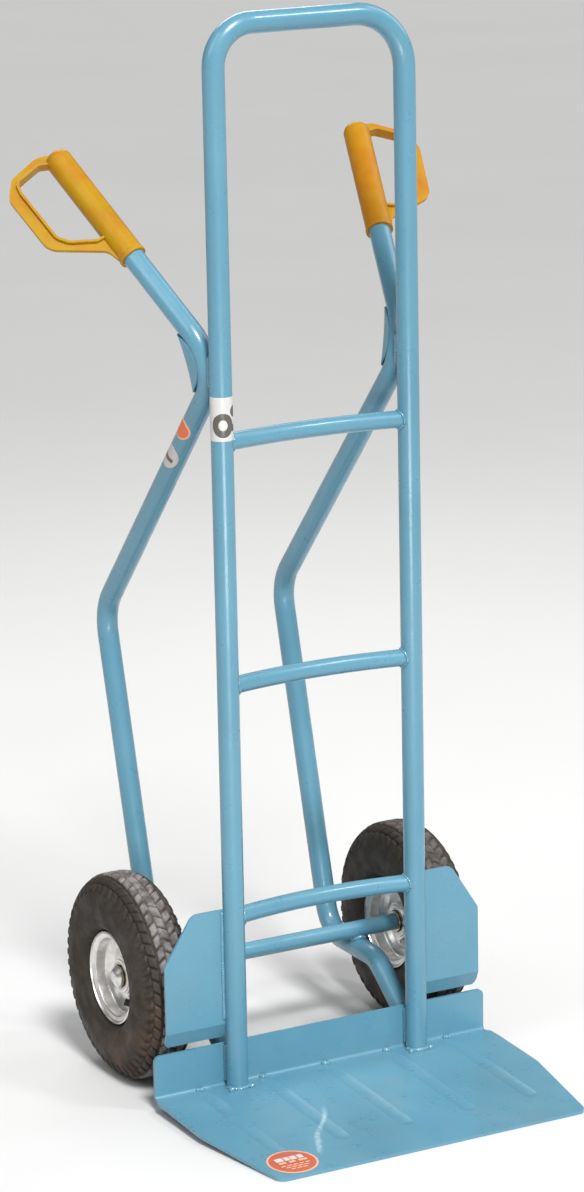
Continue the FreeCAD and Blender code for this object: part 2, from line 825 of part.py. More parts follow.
def valve(name, side):
    """Rubber valve stem through the outer rim half, with a screw cap."""
    place = wheel_place(side)
    stem = valve_bar(f"stem_{name}", "sizes.valve_radius", 2.0, 20.0)
    keep(group(f"stem_group_{name}", [stem]), f"valve_stem_{name}", *place)
    cap = valve_bar(f"valve_cap_bar_{name}", "sizes.valve_radius + 1", 17.0, 8.0)
    bore = valve_bar(f"valve_cap_bore_{name}", "sizes.valve_radius + 0.05", 16.0, 6.1)
    keep(cut(f"valve_cap_cut_{name}", cap, bore), f"valve_cap_{name}", *place)


# ---------------------------------------------------------------- grips


def grip(name, side):
    """Moulded grip with a closed hand guard, on the end of a handle."""
    corners = side_corners(side)
    handle = unit(corners[5] - corners[4])
    outward = unit(X_AXIS * side - handle * (X_AXIS * side).dot(handle))
    turn = Rotation(Vector(0, 0, 1), -side * size(f"grip_turn_{name}"))
    frame = Rotation(outward, handle.cross(outward), handle, "XYZ").multiply(turn)
    end, length = size("grip_end"), size("grip_length")
    radius, collar = size("grip_radius"), size("collar_radius")
    low = -end - length
    # Barrel outline as (distance along the handle, radius), turned about the handle.
    barrel_points = [
        (low, 0),
        (low, collar),
        (low + size("collar_length"), collar),
        (low + size("collar_length") + 1, radius),
        (-end, radius),
        (-end, 0),
    ]
    barrel = revolve(f"grip_{name}_barrel", barrel_points, [0, 0.8, 0.8, 0, size("grip_round"), 0])
    barrel.Placement = Placement(Vector(), Rotation(Y_AXIS, -90))
    hole_points = [
        (13, -15),
        (26, -9),
        (60, -16),
        (63, -30),
        (61.5, -106),
        (52, -119),
        (24, -135),
        (13, -135),
    ]
    hole_bends = [3, 7, 8, 14, 16, 10, 5, 3]
    guard_points = [
        (0, -9),
        (9, 0.5),
        (24, 3.8),
        (63, -5.5),
        (81, -28),
        (79.5, -113.5),
        (21, -154),
        (collar - 1, low + 4),
        (0, low + 4),
    ]
    guard_bends = [0, 4, 20, 14, 22, 24, 16, 0, 0]
    guard_outline = run(flat(guard_points), guard_bends, closed=True)
    web = pad(f"grip_{name}_web", "XZ_Plane", guard_outline, "sizes.guard_web")
    rib_points = offset(flat(hole_points), size("guard_rib"), closed=True)
    rib_bends = [bend + size("guard_rib") for bend in hole_bends]
    rib_outline = run(rib_points, rib_bends, closed=True)
    rib = pad(f"grip_{name}_rib", "XZ_Plane", rib_outline, "sizes.guard_rib_width")
    hole_outline = run(flat(hole_points), hole_bends, closed=True)
    hole = pad(f"grip_{name}_hole", "XZ_Plane", hole_outline, "60")
    guard = cut(f"grip_{name}_guard", fuse(f"grip_{name}_band", [web, rib]), hole)
    whole = fuse(f"grip_{name}_whole", [guard, barrel])
    bore_length = length + end - size("handle_end") + 0.3
    bore_radius = "sizes.tube_od / 2 + sizes.joint_gap"
    bore = cylinder(f"grip_{name}_bore", bore_radius, f"{bore_length}", Vector(0, 0, low))
    base = corners[5]
    keep(cut(f"grip_{name}_bored", whole, bore), f"grip_{name}", base, frame)


# ---------------------------------------------------------------- the whole truck

frame_hoop()
crossbar("crossbar_top", "rung_high_z")
crossbar("crossbar_middle", "rung_middle_z")
crossbar("crossbar_bottom", "rung_low_z")
toe_plate()
axle()
for side_name, side_sign in SIDES.items():
    side_tube(side_name, side_sign)
    bend_gusset(side_name, side_sign)
    wheel_guard(side_name, side_sign)
    grip(side_name, side_sign)
    tyre(side_name, side_sign)
    inner_tube(side_name, side_sign)
    rim_half(side_name, side_sign, "outer", 1)
    rim_half(side_name, side_sign, "inner", -1)
    rim_fasteners(side_name, side_sign)
    hub(side_name, side_sign)
    bearings(side_name, side_sign)
    washers_and_cap(side_name, side_sign)
    valve(side_name, side_sign)

doc.recompute()

failed = [item.Name for item in doc.Objects if "Invalid" in item.State or "Error" in item.State]
if failed:
    raise RuntimeError(f"these objects failed: {failed}")
for part in sub_parts:
    if part.Shape.isNull() or not part.Shape.isValid() or part.Shape.Volume <= 0:
        raise RuntimeError(f"{part.Label} has no sound solid")

os.makedirs("parts", exist_ok=True)
for part in sub_parts:
    part.Shape.exportStep(f"parts/{part.Label}.step")

print(f"{len(sub_parts)} sub-parts, origin_y {origin_y:.2f}")
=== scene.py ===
"""Looks of the steel hand truck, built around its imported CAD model. Lengths are in metres."""

import json
import math
import random

import bmesh
import bpy
from mathutils import Matrix, Vector


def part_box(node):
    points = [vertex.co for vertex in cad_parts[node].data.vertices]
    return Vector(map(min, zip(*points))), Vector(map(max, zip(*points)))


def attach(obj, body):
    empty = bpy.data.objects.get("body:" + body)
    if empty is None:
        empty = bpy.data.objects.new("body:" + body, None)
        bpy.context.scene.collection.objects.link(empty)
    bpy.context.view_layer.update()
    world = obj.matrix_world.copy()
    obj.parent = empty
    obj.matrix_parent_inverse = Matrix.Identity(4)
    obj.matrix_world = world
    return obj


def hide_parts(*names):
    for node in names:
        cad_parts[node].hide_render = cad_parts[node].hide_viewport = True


MM = 0.001
X_AXIS, Z_AXIS = Vector((1, 0, 0)), Vector((0, 0, 1))
SIDES = {"left": -1, "right": 1}

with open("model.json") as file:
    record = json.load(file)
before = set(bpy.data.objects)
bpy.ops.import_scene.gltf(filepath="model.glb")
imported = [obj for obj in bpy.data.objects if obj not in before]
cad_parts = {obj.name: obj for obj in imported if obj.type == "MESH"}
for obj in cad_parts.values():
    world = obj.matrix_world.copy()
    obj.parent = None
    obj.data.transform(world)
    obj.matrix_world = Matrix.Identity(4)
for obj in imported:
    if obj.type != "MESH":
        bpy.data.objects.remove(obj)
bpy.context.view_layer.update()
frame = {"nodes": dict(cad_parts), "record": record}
nodes = frame["nodes"]


# ---------------------------------------------------------------- places read from the frame


def ends(node):
    """Lowest and highest corner of a node."""
    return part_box(node)


hoop_low, hoop_high = ends("frame_hoop")
tube_r = (hoop_high.y - hoop_low.y) / 2
upright_x = hoop_high.x - tube_r
upright_y = (hoop_high.y + hoop_low.y) / 2
ledge_z = hoop_low.z
plate_high = ends("toe_plate")[1]
# The toe plate's sheet, its flat ledge in front of the standing flange, and its slope beyond that.
PLATE_SHEET = 4 * MM
LEDGE_DEPTH = 31 * MM
BLADE_SLOPE = math.radians(2.8)
fold_y = plate_high.y - PLATE_SHEET
crease_y = fold_y - LEDGE_DEPTH
axle_low, axle_high = ends("axle_tube")
axle_r = (axle_high.z - axle_low.z) / 2
axle_y = (axle_high.y + axle_low.y) / 2
axle_z = (axle_high.z + axle_low.z) / 2
guard_low, guard_high = ends("wheel_guard_right")
guard_face_y = guard_low.y
tyre_low, tyre_high = ends("tyre_right")
wheel_x = (tyre_low.x + tyre_high.x) / 2
tyre_r = (tyre_high.z - tyre_low.z) / 2
wheel_centres = {name: Vector((side * wheel_x, axle_y, axle_z)) for name, side in SIDES.items()}


def plate_top(y):
    """Height of the toe plate's upper face: flat at the fold, then sloping down to the front."""
    return ledge_z - max(0.0, crease_y - y) * math.tan(BLADE_SLOPE)


# ---------------------------------------------------------------- materials


class Shader:
    """A Principled material whose textures follow the truck's own coordinates."""

    def __init__(self, name, colour, **sockets):
        self.material = bpy.data.materials.new(name)
        self.material.use_nodes = True
        self.tree = self.material.node_tree
        self.principled = self.tree.nodes["Principled BSDF"]
        self.principled.inputs["Base Color"].default_value = (*colour, 1)
        self.material.diffuse_color = (*colour, 1)
        for socket, value in sockets.items():
            self.principled.inputs[socket.replace("_", " ")].default_value = value
        self.place = self.add("ShaderNodeTexCoord").outputs["Object"]
        self.normal = None

    def add(self, kind, **settings):
        node = self.tree.nodes.new(kind)
        for key, value in settings.items():
            setattr(node, key, value)
        return node

    def link(self, source, target):
        self.tree.links.new(source, target)

    def moved(self, offset=(0, 0, 0), stretch=(1, 1, 1)):
        """The coordinates, shifted and then stretched."""
        shifted = self.add("ShaderNodeVectorMath", operation="ADD")
        self.link(self.place, shifted.inputs[0])
        shifted.inputs[1].default_value = offset
        scaled = self.add("ShaderNodeVectorMath", operation="MULTIPLY")
        self.link(shifted.outputs[0], scaled.inputs[0])
        scaled.inputs[1].default_value = stretch
        return scaled.outputs[0]

    def noise(self, scale, detail=3.0, roughness=0.55):
        node = self.add("ShaderNodeTexNoise")
        self.link(self.place, node.inputs["Vector"])
        node.inputs["Scale"].default_value = scale
        node.inputs["Detail"].default_value = detail
        node.inputs["Roughness"].default_value = roughness
        return node.outputs["Fac"]

    def between(self, value, low, high, out_low=0.0, out_high=1.0):
        """A value mapped from one range to another, clamped."""
        node = self.add("ShaderNodeMapRange", interpolation_type="SMOOTHSTEP")
        self.link(value, node.inputs["Value"])
        limits = {"From Min": low, "From Max": high, "To Min": out_low, "To Max": out_high}
        for socket, number in limits.items():
            node.inputs[socket].default_value = number
        return node.outputs["Result"]

    def math(self, operation, first, second):
        node = self.add("ShaderNodeMath", operation=operation)
        for socket, value in zip(node.inputs, (first, second)):
            if isinstance(value, (int, float)):
                socket.default_value = value
            else:
                self.link(value, socket)
        return node.outputs[0]

    def along(self, direction, offset=(0, 0, 0)):
        """How far a point lies along a direction."""
        node = self.add("ShaderNodeVectorMath", operation="DOT_PRODUCT")
        self.link(self.moved(offset), node.inputs[0])
        node.inputs[1].default_value = direction
        return node.outputs["Value"]

    def colours(self, value, *stops):
        """Colour read from a ramp of (position, colour) stops."""
        node = self.add("ShaderNodeValToRGB")
        self.link(value, node.inputs["Fac"])
        band = node.color_ramp
        for element, (place, colour) in zip(list(band.elements), (stops[0], stops[-1])):
            element.position = place
            element.color = (*colour, 1)
        for place, colour in stops[1:-1]:
            element = band.elements.new(place)
            element.color = (*colour, 1)
        return node.outputs["Color"]

    def blend(self, amount, first, second):
        """Colour that goes from the first to the second as the amount goes from 0 to 1."""
        node = self.add("ShaderNodeMix", data_type="RGBA")
        self.link(amount, node.inputs["Factor"])
        for name, value in (("A", first), ("B", second)):
            socket = next(s for s in node.inputs if s.name == name and s.type == "RGBA")
            if isinstance(value, tuple):
                socket.default_value = (*value, 1)
            else:
                self.link(value, socket)
        return next(s for s in node.outputs if s.type == "RGBA")

    def bump(self, height, strength, distance):
        """One more layer of relief over those already there."""
        node = self.add("ShaderNodeBump")
        node.inputs["Strength"].default_value = strength
        node.inputs["Distance"].default_value = distance
        self.link(height, node.inputs["Height"])
        if self.normal:
            self.link(self.normal, node.inputs["Normal"])
        self.normal = node.outputs["Normal"]

    def done(self, colour, roughness):
        """The finished material, with its colour, roughness and relief joined up."""
        self.link(colour, self.principled.inputs["Base Color"])
        self.link(roughness, self.principled.inputs["Roughness"])
        if self.normal:
            self.link(self.normal, self.principled.inputs["Normal"])
        return self.material


BLUE = (0.104, 0.276, 0.375)
BLUE_PALE = (0.118, 0.298, 0.400)
BLUE_DEEP = (0.090, 0.248, 0.342)


def enamel(name, scuff=None, coat=0.45, coat_roughness=0.15):
    """Gloss enamel: mottled blue, fine grain, faint chips, dust low down and, where given, a pale scuff."""
    shader = Shader(name, BLUE, Coat_Weight=coat, Coat_Roughness=coat_roughness, Specular_IOR_Level=0.42)
    colour = shader.colours(
        shader.noise(5.0, 3.0), (0.3, BLUE_DEEP), (0.5, BLUE), (0.72, BLUE_PALE)
    )
    speckle = shader.between(shader.noise(520, 2.0), 0.38, 0.62)
    colour = shader.blend(shader.math("MULTIPLY", speckle, 0.22), colour, BLUE_DEEP)
    low = shader.between(shader.along((0, 0, 1)), 0.0, 0.30, 1.0, 0.0)
    dusty = shader.between(shader.noise(22, 5.0), 0.45, 0.75)
    dust = shader.math("MULTIPLY", shader.math("MULTIPLY", low, dusty), 0.16)
    colour = shader.blend(dust, colour, (0.23, 0.28, 0.29))
    patches = shader.between(shader.noise(7.0, 2.0), 0.60, 0.70)
    chips = shader.math("MULTIPLY", shader.between(shader.noise(210, 4.0, 0.7), 0.730, 0.760), patches)
    colour = shader.blend(shader.math("MULTIPLY", chips, 0.08), colour, (0.10, 0.17, 0.21))
    rough = shader.between(shader.noise(38, 5.0, 0.6), 0.3, 0.75, 0.26, 0.44)
    if scuff:
        start, end, half = scuff
        run = end - start
        ahead = run.normalized()
        across = ahead.cross(Z_AXIS).normalized()
        wave = shader.between(shader.noise(17, 1.0), 0.3, 0.7, -0.004, 0.004)
        off = shader.math("ADD", shader.along(across, -start), wave)
        thin = shader.between(shader.math("ABSOLUTE", off, 0), half * 0.2, half, 1.0, 0.0)
        reach = shader.along(ahead, -start)
        begins = shader.between(reach, -0.004, 0.02)
        stops = shader.between(reach, run.length - 0.012, run.length + 0.004, 1.0, 0.0)
        broken = shader.between(shader.noise(160, 3.0), 0.30, 0.6, 0.25, 1.0)
        head, tail = shader.math("MULTIPLY", thin, begins), shader.math("MULTIPLY", stops, broken)
        mark = shader.math("MULTIPLY", head, tail)
        colour = shader.blend(shader.math("MULTIPLY", mark, 0.62), colour, (0.42, 0.58, 0.66))
    shader.bump(shader.noise(340, 2.0, 0.4), 0.10, 0.0006)
    shader.bump(shader.noise(34, 2.0), 0.02, 0.002)
    return shader.done(colour, rough)


def plastic(name, deep, middle, bright):
    """Yellow-orange moulded grip: fine grain, deeper red-orange in random patches."""
    shader = Shader(name, middle, Specular_IOR_Level=0.26, Subsurface_Weight=0.06)
    shader.principled.inputs["Subsurface Radius"].default_value = (0.006, 0.002, 0.0005)
    shader.principled.inputs["Subsurface Scale"].default_value = 0.6
    colour = shader.colours(shader.noise(26, 4.0), (0.28, deep), (0.5, middle), (0.75, bright))
    red_orange_patches = shader.between(shader.noise(90, 6.0, 0.7), 0.60, 0.80)
    colour = shader.blend(shader.math("MULTIPLY", red_orange_patches, 0.4), colour, (0.33, 0.12, 0.015))
    rough = shader.between(shader.noise(60, 5.0), 0.3, 0.7, 0.34, 0.52)
    shader.bump(shader.noise(900, 2.0), 0.12, 0.0004)
    shader.bump(shader.noise(70, 3.0), 0.12, 0.0006)
    return shader.done(colour, rough)


def rubber(name, colour, dust, centre=None, crown=None):
    """Dusty rubber. With a wheel's centre, the low front is muddy and the crown is painted lighter, partly
    as wear and partly as a painted highlight.
    """
    shader = Shader(name, colour, Specular_IOR_Level=0.35)
    fine = shader.between(shader.noise(160, 6.0, 0.65), 0.35, 0.75)
    broad = shader.between(shader.noise(16, 4.0), 0.35, 0.70)
    amount = shader.math("MULTIPLY", shader.math("ADD", fine, broad), 0.40)
    result = shader.blend(amount, colour, dust)
    if centre:
        towards = shader.along((0, -0.55, -0.83), -centre)
        low = shader.between(towards, 0.03, 0.12)
        muddy = shader.between(shader.noise(30, 5.0), 0.36, 0.62)
        mud = shader.math("MULTIPLY", shader.math("MULTIPLY", low, muddy), 0.5)
        result = shader.blend(mud, result, (0.115, 0.062, 0.032))
        length = shader.add("ShaderNodeVectorMath", operation="LENGTH")
        shader.link(shader.moved(-centre, (0, 1, 1)), length.inputs[0])
        # The crown band: lighter partly from wear and partly as a painted highlight.
        worn = shader.between(length.outputs["Value"], tyre_r - 0.0045, tyre_r - 0.0005)
        patchy = shader.between(shader.noise(70, 3.0), 0.35, 0.65, 0.25, 0.8)
        result = shader.blend(shader.math("MULTIPLY", worn, patchy), result, crown)
    rough = shader.between(shader.noise(48, 5.0), 0.3, 0.7, 0.52, 0.78)
    shader.bump(shader.noise(620, 5.0, 0.7), 0.35, 0.0006)
    return shader.done(result, rough)


def metal(name, colour, low, high, stain=None):
    """Bright plated or turned steel: turning marks round the axle, cloudy patches and stains."""
    shader = Shader(name, colour, Metallic=1.0)
    turned = shader.moved((0, -axle_y, -axle_z))
    marks = shader.add("ShaderNodeTexWave", wave_type="RINGS", rings_direction="X", bands_direction="X")
    shader.link(turned, marks.inputs["Vector"])
    marks.inputs["Scale"].default_value = 420
    marks.inputs["Distortion"].default_value = 3.0
    marks.inputs["Detail"].default_value = 2.0
    shader.bump(marks.outputs["Fac"], 0.04, 0.0002)
    cloudy = shader.between(shader.noise(55, 5.0, 0.6), 0.30, 0.72)
    darker = tuple(value * 0.72 for value in colour)
    result = shader.blend(cloudy, darker, colour)
    if stain:
        spots = shader.between(shader.noise(120, 6.0, 0.7), 0.60, 0.74)
        result = shader.blend(shader.math("MULTIPLY", spots, 0.6), result, stain)
    rough = shader.between(shader.noise(75, 5.0), 0.3, 0.7, low, high)
    shader.bump(shader.noise(480, 3.0), 0.03, 0.0003)
    return shader.done(result, rough)


def film(name, colour, worn):
    """Printed label film: faint creases and scuffed spots."""
    shader = Shader(name, colour, Coat_Weight=0.25, Coat_Roughness=0.2)
    scuffs = shader.between(shader.noise(300, 5.0, 0.7), 0.56, 0.72)
    result = shader.blend(shader.math("MULTIPLY", scuffs, 0.5), colour, worn)
    rough = shader.between(shader.noise(120, 3.0), 0.3, 0.7, 0.32, 0.5)
    shader.bump(shader.noise(140, 3.0), 0.15, 0.0004)
    return shader.done(result, rough)


def floor_finish():
    """Matt pale floor with a faint, broad unevenness."""
    shader = Shader("studio_floor", (0.68, 0.68, 0.675), Specular_IOR_Level=0.1)
    tone = shader.colours(shader.noise(1.2, 3.0), (0.3, (0.67, 0.67, 0.665)), (0.7, (0.69, 0.69, 0.685)))
    rough = shader.between(shader.noise(9, 3.0), 0.3, 0.7, 0.80, 0.92)
    return shader.done(tone, rough)


def on_blade(x, forward):
    """A point on the plate's upper face, at a distance in front of the standing flange."""
    return Vector((x, fold_y - forward, plate_top(fold_y - forward)))


SCUFF_START = on_blade(-0.0624, 0.1199)
SCUFF_END = on_blade(-0.1379, 0.2334)
SCUFF_HALF = 4.6 * MM

blue = enamel("blue_enamel")
plate_blue = enamel("blue_enamel_plate", (SCUFF_START, SCUFF_END, SCUFF_HALF))
weld_blue = enamel("blue_enamel_weld", coat=1.0, coat_roughness=0.05)
# Lit and shaded copies of one grip plastic: the left grip's yellower orange is a painted highlight and the
# right grip's deeper orange is painted shade.
LIT_GRIP_ORANGES = ((0.42, 0.165, 0.002), (0.42, 0.220, 0.003), (0.43, 0.262, 0.004))
SHADED_GRIP_ORANGES = ((0.41, 0.135, 0.002), (0.42, 0.185, 0.003), (0.43, 0.230, 0.004))
orange = plastic("grip_plastic_lit_left", *LIT_GRIP_ORANGES)
shaded_grip_plastic = plastic("grip_plastic_shaded_right", *SHADED_GRIP_ORANGES)
TYRE_BLACK, TYRE_DUST = (0.024, 0.019, 0.0145), (0.058, 0.046, 0.036)
# How light the crown of each tyre is painted: partly wear, partly a painted highlight; the right crown's
# darker tone is painted shade.
CROWN_WEAR_HIGHLIGHT_AND_SHADE = {"left": (0.30, 0.275, 0.27), "right": (0.15, 0.13, 0.12)}
tyre_looks = {
    name: rubber(f"tyre_rubber_{name}", TYRE_BLACK, TYRE_DUST, wheel_centres[name], crown)
    for name, crown in CROWN_WEAR_HIGHLIGHT_AND_SHADE.items()
}
black = rubber("black_rubber", (0.02, 0.02, 0.02), (0.06, 0.058, 0.055))
zinc = metal("zinc_plate", (0.93, 0.91, 0.89), 0.30, 0.44, stain=(0.50, 0.42, 0.34))
yellow = metal("yellow_zinc", (0.60, 0.53, 0.36), 0.25, 0.42, stain=(0.35, 0.30, 0.30))
steel = metal("bright_steel", (0.55, 0.55, 0.54), 0.16, 0.32)

LOOKS = {
    "blue_paint": blue,
    "orange_plastic": orange,
    "black_rubber": black,
    "zinc_plate": zinc,
    "yellow_zinc": yellow,
    "bright_steel": steel,
}


def dress(thing, look):
    """Give an object one material in place of those it has."""
    thing.data.materials.clear()
    thing.data.materials.append(look)


for entry in frame["record"]["subparts"]:
    if entry["material_slot"] in LOOKS:
        dress(nodes[entry["node"]], LOOKS[entry["material_slot"]])
dress(nodes["toe_plate"], plate_blue)
# The right grip takes the shaded copy of the grip plastic: its deeper orange is painted shade.
dress(nodes["grip_right"], shaded_grip_plastic)


# ---------------------------------------------------------------- mesh helpers


def make(name, verts, faces, look, body, smooth=True):
    """A new mesh piece that rides on a body."""
    mesh = bpy.data.meshes.new(name)
    mesh.from_pydata([tuple(v) for v in verts], [], faces)
    shape = bmesh.new()
    shape.from_mesh(mesh)
    bmesh.ops.recalc_face_normals(shape, faces=shape.faces)
    shape.to_mesh(mesh)
    shape.free()
    mesh.polygons.foreach_set("use_smooth", [smooth] * len(mesh.polygons))
    thing = bpy.data.objects.new(name, mesh)
    bpy.context.scene.collection.objects.link(thing)
    dress(thing, look)
    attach(thing, body)
    return thing


def rounded(points, radii, step=math.radians(9)):
    """An open outline of 2-D points whose inner corners are arcs of the given radii."""
    out = [points[0]]
    for before, corner, after, radius in zip(points, points[1:], points[2:], radii):
        back, ahead = (before - corner).normalized(), (after - corner).normalized()
        half = back.angle(ahead) / 2
        reach = radius / math.tan(half)
        centre = corner + (back + ahead).normalized() * (radius / math.sin(half))
        first, last = corner + back * reach, corner + ahead * reach
        start = math.atan2(first.y - centre.y, first.x - centre.x)
        turn = math.atan2(last.y - centre.y, last.x - centre.x) - start
        turn = (turn + math.pi) % (2 * math.pi) - math.pi
        count = max(2, round(abs(turn) / step))
        for place in range(count + 1):
            angle = start + turn * place / count
            out.append(centre + Vector((math.cos(angle), math.sin(angle))) * radius)
    out.append(points[-1])
    return out


def distances(line):
    """How far along the line each of its points is."""
    out = [0.0]
    for first, second in zip(line, line[1:]):
        out.append(out[-1] + (second - first).length)
    return out


def resampled(outline, count):
    """The outline again, as equally spaced points, with each point's distance along it."""
    lengths = distances(outline)
    out, place = [], 0
    for number in range(count):
        target = lengths[-1] * number / (count - 1)
        while place < len(outline) - 2 and lengths[place + 1] < target:
            place += 1
        share = (target - lengths[place]) / max(lengths[place + 1] - lengths[place], 1e-12)
        out.append((outline[place].lerp(outline[place + 1], min(share, 1.0)), target))
    return out


def ramp(value, low, high):
    """A smooth step from 0 at the low value to 1 at the high one."""
    share = min(max((value - low) / (high - low), 0.0), 1.0)
    return share * share * (3 - 2 * share)


# ---------------------------------------------------------------- tyres

# The tread's pitches round the tyre, the steps that draw each of them, and the tread's sizes.
PITCHES = 50
STEPS = 12
TREAD_DEPTH = 3.4 * MM
ROW_HALF = 6.2 * MM
GROOVE_HALF = 1.75 * MM
EDGE = 0.5 * MM
BLOCK_ROWS = 5
ROW_GROOVE = 0.62 * GROOVE_HALF
CROWN_LEAN = 0.22
SHOULDER_GROOVE = 2.1 * GROOVE_HALF
SHOULDER_GAP = 0.6 * GROOVE_HALF
SHOULDER_LEAN = 0.12
SHOULDER_END = 47 * MM
SHOULDER_FADE = 9 * MM
RIB_DEPTH = 0.45 * MM
RING_DEPTH = 0.55 * MM
# The moulded rings of a side wall: distance from the crown's middle and half width.
RINGS = ((66 * MM, 1.2 * MM), (70 * MM, 0.9 * MM), (92 * MM, 1.1 * MM))
# Half the tyre's section, as (across, from the axle) in mm: the outside, its bends' radii and the inside.
OUTSIDE = ((20.3, 52.0), (22.8, 59.0), (34.6, 66.0), (37.0, 93.0), (31.0, 120.5), (14.0, 130.0))
OUTSIDE_BENDS = (2.0, 9.0, 30.0, 26.0, 16.0)
INSIDE = ((12.3, 52.0), (14, 62), (30, 70), (31.5, 93), (26, 116), (12, 124.6))


def past(value, edge):
    """0 before an edge and 1 after it, with a short smooth step between."""
    return ramp(value, edge - EDGE, edge + EDGE)


def block_height(across, turn):
    """1 on a tread block and 0 in a groove, at a distance from the crown's middle and a turn in pitches."""
    row = round(across / (2 * ROW_HALF))
    side = 1 if across >= 0 else -1
    pitch = 2 * math.pi * tyre_r / PITCHES
    if abs(row) <= BLOCK_ROWS // 2:
        offset = across - row * 2 * ROW_HALF
        phase = turn + 0.5 * (row % 2) + CROWN_LEAN * (1 if row % 2 else -1) * offset / ROW_HALF
        lengthwise = past(abs((phase % 1) - 0.5) * pitch, pitch / 2 - GROOVE_HALF)
        crosswise = past(abs(offset), ROW_HALF - ROW_GROOVE)
        return 1 - max(lengthwise, crosswise)
    start = (BLOCK_ROWS // 2 * 2 + 1) * ROW_HALF
    lean = SHOULDER_LEAN * (abs(across) - start) / ROW_HALF * side
    phase = turn + 0.5 * ((BLOCK_ROWS // 2 + 1) % 2) + lean
    lengthwise = past(abs((phase % 1) - 0.5) * pitch, pitch / 2 - SHOULDER_GROOVE)
    return (1 - lengthwise) * past(abs(across), start + SHOULDER_GAP)


def tyre(name):
    """The treaded tyre: staggered crown blocks, shoulder lugs, fine ribs and moulded rings on its walls."""
    right = [Vector(point) * MM for point in OUTSIDE]
    left = [Vector((-point.x, point.y)) for point in right]
    outline = rounded(left + right[::-1], [bend * MM for bend in OUTSIDE_BENDS + OUTSIDE_BENDS[::-1]])
    samples = resampled(outline, 150)
    middle = samples[-1][1] / 2
    skin = []
    for place, (point, along) in enumerate(samples):
        before, after = samples[max(place - 1, 0)][0], samples[min(place + 1, len(samples) - 1)][0]
        run = (after - before).normalized()
        skin.append((point, Vector((-run.y, run.x)), along - middle))
    inside = [Vector(point) * MM for point in INSIDE]
    inside = inside + [Vector((-point.x, point.y)) for point in inside[::-1]]
    centre = wheel_centres[name]
    around = PITCHES * STEPS
    verts, rows = [], len(skin) + len(inside)
    for number in range(around):
        turn = number / STEPS
        angle = 2 * math.pi * number / around
        spoke = Vector((0, math.cos(angle), math.sin(angle)))
        for point, normal, across in skin:
            out = abs(across)
            tread = ramp(out, SHOULDER_END, SHOULDER_END - SHOULDER_FADE)
            depth = -TREAD_DEPTH * tread * (1 - block_height(across, turn)) if tread else 0.0
            rib_zone = ramp(out, 44 * MM, 49 * MM) * ramp(out, 64 * MM, 58 * MM)
            depth -= RIB_DEPTH * rib_zone * (0.5 - 0.5 * math.cos(2 * angle * PITCHES))
            for ring, wide in RINGS:
                depth -= RING_DEPTH * max(0.0, 1 - abs(out - ring) / wide)
            spot = point + normal * depth
            verts.append(centre + X_AXIS * spot.x + spoke * spot.y)
        for point in inside:
            verts.append(centre + X_AXIS * point.x + spoke * point.y)
    faces = []
    for number in range(around):
        here, there = number * rows, (number + 1) % around * rows
        for row in range(rows):
            step = (row + 1) % rows
            faces.append((here + row, here + step, there + step, there + row))
    thing = make(f"treaded_tyre_{name}", verts, faces, tyre_looks[name], f"wheel_{name}")
    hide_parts(f"tyre_{name}")


# ---------------------------------------------------------------- welds

dice = random.Random(7)
# How far apart a bead's ripples are, how much each rises and varies, the sides of a bead's section,
# and the radius of each kind of bead.
RIPPLE = 3.4 * MM
RIPPLE_RISE, RIPPLE_SHAKE = 0.24, 0.12
BEAD_SIDES = 10
RUNG_WELD, FOOT_WELD, GUARD_WELD = 1.6 * MM, 2.4 * MM, 2.1 * MM
FLANGE_WELD, AXLE_WELD, APEX_WELD = 2.3 * MM, 2.6 * MM, 2.6 * MM
FOOT_PIP, FOLD_PIP = 3.2 * MM, 3.0 * MM
# How far the rungs bow, and how far apart the pips along the plate's fold are.
RUNG_BOW = 15 * MM
FOLD_PIP_PITCH = 88 * MM


def bead(name, points, radius, closed=False):
    """A weld bead along a line: overlapping ripples of slightly uneven height and width."""
    loop = points + points[:1] if closed else points
    total = distances(loop)[-1]
    line = resampled(loop, max(8, round(total / (RIPPLE / 5))) + 1)
    if closed:
        line.pop()
    shakes = [dice.uniform(-1, 1) for _ in range(int(total / RIPPLE) + 3)]
    verts, faces = [], []
    size = len(line)
    for number, (point, along) in enumerate(line):
        before = line[number - 1][0] if number or closed else point
        after = line[(number + 1) % size][0] if number < size - 1 or closed else point
        run = (after - before).normalized()
        steep = abs(run.dot(Z_AXIS)) > 0.9
        side = (run.orthogonal() if steep else run.cross(Z_AXIS)).normalized()
        up = side.cross(run).normalized()
        wave = along / RIPPLE
        ripple = 1 + RIPPLE_RISE * (wave % 1) + RIPPLE_SHAKE * shakes[int(wave)]
        taper = 1.0 if closed else math.sqrt(max(0.02, min(1.0, along / radius, (total - along) / radius)))
        for corner in range(BEAD_SIDES):
            angle = 2 * math.pi * corner / BEAD_SIDES
            verts.append(point + (side * math.cos(angle) + up * math.sin(angle)) * radius * ripple * taper)
    for number in range(size if closed else size - 1):
        here, there = number * BEAD_SIDES, (number + 1) % size * BEAD_SIDES
        for corner in range(BEAD_SIDES):
            step = (corner + 1) % BEAD_SIDES
            faces.append((here + corner, here + step, there + step, there + corner))
    if not closed:
        faces.append(tuple(range(BEAD_SIDES))[::-1])
        last = (size - 1) * BEAD_SIDES
        faces.append(tuple(range(last, last + BEAD_SIDES)))
    make(name, verts, faces, weld_blue, "root")


def saddle(centre, radius, big, axis, facing, spare):
    """Where a pipe of one radius, running along `facing`, meets the side of a bigger pipe along `axis`."""
    across = axis.cross(facing)
    points = []
    for number in range(48):
        angle = 2 * math.pi * number / 48
        u = (radius + spare) * math.cos(angle)
        v = (radius + spare) * math.sin(angle)
        out = math.sqrt(max((big + spare) ** 2 - u * u, 0))
        points.append(centre + across * u + axis * v + facing * out)
    return points


